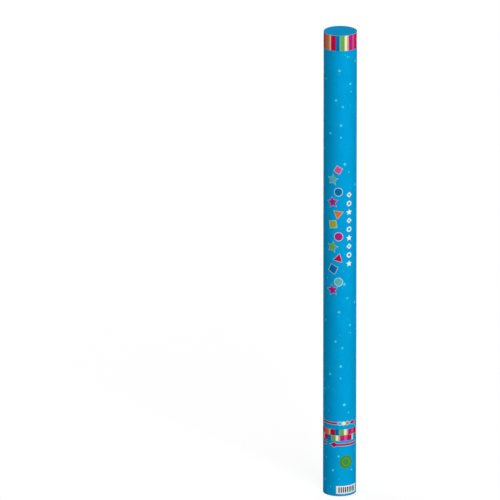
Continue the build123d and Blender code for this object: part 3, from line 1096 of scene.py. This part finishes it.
def floor_material(stage):
    """Pale floor: white to the camera but for a share of the shadow, and a plain grey to other light."""
    material = bpy.data.materials.new("floor")
    nodes = Nodes(fresh_tree(material))
    plain = nodes.get("ShaderNodeBsdfDiffuse", {"Color": (stage.floor_tone,) * 3})
    shadow = nodes.get("ShaderNodeBsdfDiffuse", {"Color": (stage.floor_shade,) * 3})
    from_lamps = sum(bright * sin(rise) for turned, rise, bright in lamp_settings(stage).values())
    lit = stage.ambient + stage.floor_even * from_lamps
    glow = nodes.get("ShaderNodeEmission", {"Strength": 1 - stage.floor_shade * lit})
    seen = nodes.get("ShaderNodeAddShader", {0: shadow, 1: glow})
    mixed = nodes.get("ShaderNodeMixShader", {0: seen_rays(nodes), 1: plain, 2: seen})
    nodes.add("ShaderNodeOutputMaterial", {"Surface": mixed})
    return material


def make_floor(stage):
    """Round floor just under the base: a level section, from its rim to the axis, carried round."""
    radius = floor_ring_shares * stage.floor_r
    height = np.full_like(radius, -floor_drop)
    floor = lathe_piece("floor", radius, height, floor_columns, floor_material(stage))


def make_world(stage):
    """Even room light, and plain white where the background is seen."""
    white = (1.0, 1.0, 1.0)
    world = bpy.data.worlds.new("studio")
    bpy.context.scene.world = world
    nodes = Nodes(fresh_tree(world))
    room = nodes.get("ShaderNodeBackground", {"Color": white, "Strength": stage.ambient})
    backdrop = nodes.get("ShaderNodeBackground", {"Color": white, "Strength": 1.0})
    mixed = nodes.get("ShaderNodeMixShader", {0: seen_rays(nodes), 1: room, 2: backdrop})
    nodes.add("ShaderNodeOutputWorld", {"Surface": mixed})


def direction(azimuth, elevation):
    """Unit vector from the popper towards a place to the right of the front and above the horizon."""
    return Vector((sin(azimuth) * cos(elevation), -cos(azimuth) * cos(elevation), sin(elevation)))


def make_lamp(name, stage, middle, azimuth, elevation, bright):
    """Large soft lamp. Its power is the level it gives, times pi squared and the square of its distance."""
    panel = bpy.data.lights.new(name, "AREA")
    panel.shape = "RECTANGLE"
    panel.size = stage.lamp_width
    panel.size_y = stage.lamp_height
    panel.energy = bright * pi**2 * stage.lamp_distance**2
    towards = direction(azimuth, elevation)
    lamp = bpy.data.objects.new(name, panel)
    lamp.location = middle + towards * stage.lamp_distance
    lamp.rotation_euler = towards.to_track_quat("Z", "Y").to_euler()
    lamp.visible_camera = False
    bpy.context.scene.collection.objects.link(lamp)


def make_camera(stage, middle):
    """Distant camera, placed so that the popper's middle falls on its place in the picture."""
    camera_data = bpy.data.cameras.new("camera")
    camera_data.sensor_width = sensor_width
    camera_data.lens = sensor_width * stage.distance / (stage.picture_px * stage.pixel)
    camera_data.clip_end = stage.distance + stage.floor_r
    back = direction(0.0, stage.elevation)
    up = Vector((0.0, sin(stage.elevation), cos(stage.elevation)))
    right_of_centre = (stage.axis_px - stage.picture_px / 2) * stage.pixel
    below_centre = (stage.middle_px - stage.picture_px / 2) * stage.pixel
    aim = middle - Vector((right_of_centre, 0.0, 0.0)) + up * below_centre
    camera = bpy.data.objects.new("camera", camera_data)
    camera.location = aim + back * stage.distance
    camera.rotation_euler = back.to_track_quat("Z", "Y").to_euler()
    bpy.context.scene.collection.objects.link(camera)
    bpy.context.scene.camera = camera


# Operators


def carry(piece, body, node):
    """Lets a piece ride on a body and stand for a node."""
    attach(piece, body)
    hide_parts(node)


class POPPER_OT_barrel_wrap(bpy.types.Operator):
    """Printed paper round the launch tube"""

    bl_idname = "popper.barrel_wrap"
    bl_label = "Barrel wrap"

    def execute(self, context):
        paper = context.scene.popper_paper
        material = barrel_print(context.scene.popper_inks, paper)
        piece = wrap_piece("barrel_paper", barrel_low.z, barrel_high.z, paper, material)
        carry(piece, "barrel", "barrel_wrap")
        return {"FINISHED"}


class POPPER_OT_grip_wrap(bpy.types.Operator):
    """Printed paper round the grip"""

    bl_idname = "popper.grip_wrap"
    bl_label = "Grip wrap"

    def execute(self, context):
        paper = context.scene.popper_paper
        material = grip_print(context.scene.popper_inks, paper)
        piece = wrap_piece("grip_paper", grip_low.z, grip_high.z, paper, material)
        carry(piece, "grip", "grip_wrap")
        return {"FINISHED"}


class POPPER_OT_cap(bpy.types.Operator):
    """Card disc that closes the muzzle"""

    bl_idname = "popper.cap"
    bl_label = "Muzzle cap"

    def execute(self, context):
        paper = context.scene.popper_paper
        section = disc_section(body_r, cap_low.z, cap_high.z, 2 * paper.edge, paper.edge, cap_rings)
        piece = lathe_piece("cap_card", *section, paper.columns, cap_paper(context.scene.popper_inks))
        carry(piece, "cap", "muzzle_disc")
        return {"FINISHED"}


class POPPER_OT_foam(bpy.types.Operator):
    """Foam of the pusher and of the cap's plug"""

    bl_idname = "popper.foam"
    bl_label = "Foam"

    def execute(self, context):
        load = context.scene.popper_load
        material = foam("foam", record_colour("foam"))

        def uneven(angles, height):
            """Shares that draw the skin in: a pit's depth, more or less by the mean of the sine waves."""
            waves = sum(np.sin(around * angles + along * height) for around, along in foam_waves)
            share = 1 - load.foam_pit / loose_r * (1 + waves / len(foam_waves))
            return np.stack([share, share, np.ones_like(share)], axis=-1)

        for name, node, body, low, high in (
            ("pusher_wad", "pusher_foam", "charge", wad_low.z, wad_high.z),
            ("cap_wad", "muzzle_plug", "cap", plug_low.z, plug_high.z),
        ):
            section = disc_section(loose_r, low, high, load.foam_edge, load.foam_crown, foam_rings)
            piece = lathe_piece(name, *section, foam_columns, material, uneven)
            carry(piece, body, node)
        return {"FINISHED"}


class POPPER_OT_confetti(bpy.types.Operator):
    """Bundles of tissue slips, one piece for each colour"""

    bl_idname = "popper.confetti"
    bl_label = "Confetti"

    def execute(self, context):
        load = context.scene.popper_load
        draw = np.random.default_rng(confetti_seed)
        boxes = [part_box(f"confetti_{colour}") for colour in confetti_colours]
        low = min(box[0].z for box in boxes)
        high = max(box[1].z for box in boxes)
        bundles = np.arange(tiers * sum(bundle_rows))
        for number, colour in enumerate(confetti_colours):
            points, faces = confetti_mesh(bundles[number::len(confetti_colours)], load, low, high, draw)
            material = tissue(f"tissue {colour}", record_colour(f"tissue_{colour}"))
            piece = put_mesh(f"slips_{colour}", points, faces, material)
            carry(piece, "charge", f"confetti_{colour}")
        return {"FINISHED"}


class POPPER_OT_finishes(bpy.types.Operator):
    """Finishes of the solids that keep their own shape"""

    bl_idname = "popper.finishes"
    bl_label = "Finishes"

    def execute(self, context):
        made = {
            slot: make(slot.replace("_", " "), record_colour(slot), roughness)
            for slot, (make, roughness) in solid_finishes.items()
        }
        for part in frame["record"]["subparts"]:
            if part["material_slot"] in made:
                for slot in frame["nodes"][part["node"]].material_slots:
                    slot.material = made[part["material_slot"]]
        return {"FINISHED"}


class POPPER_OT_stage(bpy.types.Operator):
    """Floor, room light, lamps and camera"""

    bl_idname = "popper.stage"
    bl_label = "Stage"

    def execute(self, context):
        stage = context.scene.popper_stage
        middle = Vector((0.0, 0.0, (cad_bounds[0].z + cad_bounds[1].z) / 2))
        make_floor(stage)
        make_world(stage)
        for name, values in lamp_settings(stage).items():
            make_lamp(name, stage, middle, *values)
        make_camera(stage, middle)
        context.scene.view_settings.view_transform = "Standard"
        return {"FINISHED"}


operators = (
    POPPER_OT_barrel_wrap,
    POPPER_OT_grip_wrap,
    POPPER_OT_cap,
    POPPER_OT_foam,
    POPPER_OT_confetti,
    POPPER_OT_finishes,
    POPPER_OT_stage,
)
settings = {
    "popper_inks": PopperInks,
    "popper_paper": PopperPaper,
    "popper_load": PopperLoad,
    "popper_stage": PopperStage,
}


class POPPER_PT_panel(bpy.types.Panel):
    """Sidebar panel with the popper's steps and settings"""

    bl_idname = "POPPER_PT_panel"
    bl_label = "Confetti popper"
    bl_space_type = "VIEW_3D"
    bl_region_type = "UI"
    bl_category = "Popper"

    def draw(self, context):
        for operator in operators:
            self.layout.operator(operator.bl_idname)
        for name, group in settings.items():
            box = self.layout.box()
            for prop in group.__annotations__:
                box.prop(getattr(context.scene, name), prop)


def register():
    for group in settings.values():
        bpy.utils.register_class(group)
    for name, group in settings.items():
        setattr(bpy.types.Scene, name, bpy.props.PointerProperty(type=group))
    for operator in operators:
        bpy.utils.register_class(operator)
    bpy.utils.register_class(POPPER_PT_panel)


def unregister():
    bpy.utils.unregister_class(POPPER_PT_panel)
    for operator in reversed(operators):
        bpy.utils.unregister_class(operator)
    for name in settings:
        delattr(bpy.types.Scene, name)
    for group in reversed(settings.values()):
        bpy.utils.unregister_class(group)


def main():
    register()
    bpy.ops.popper.barrel_wrap()
    bpy.ops.popper.grip_wrap()
    bpy.ops.popper.cap()
    bpy.ops.popper.foam()
    bpy.ops.popper.confetti()
    bpy.ops.popper.finishes()
    bpy.ops.popper.stage()


if __name__ == "__main__":
    main()
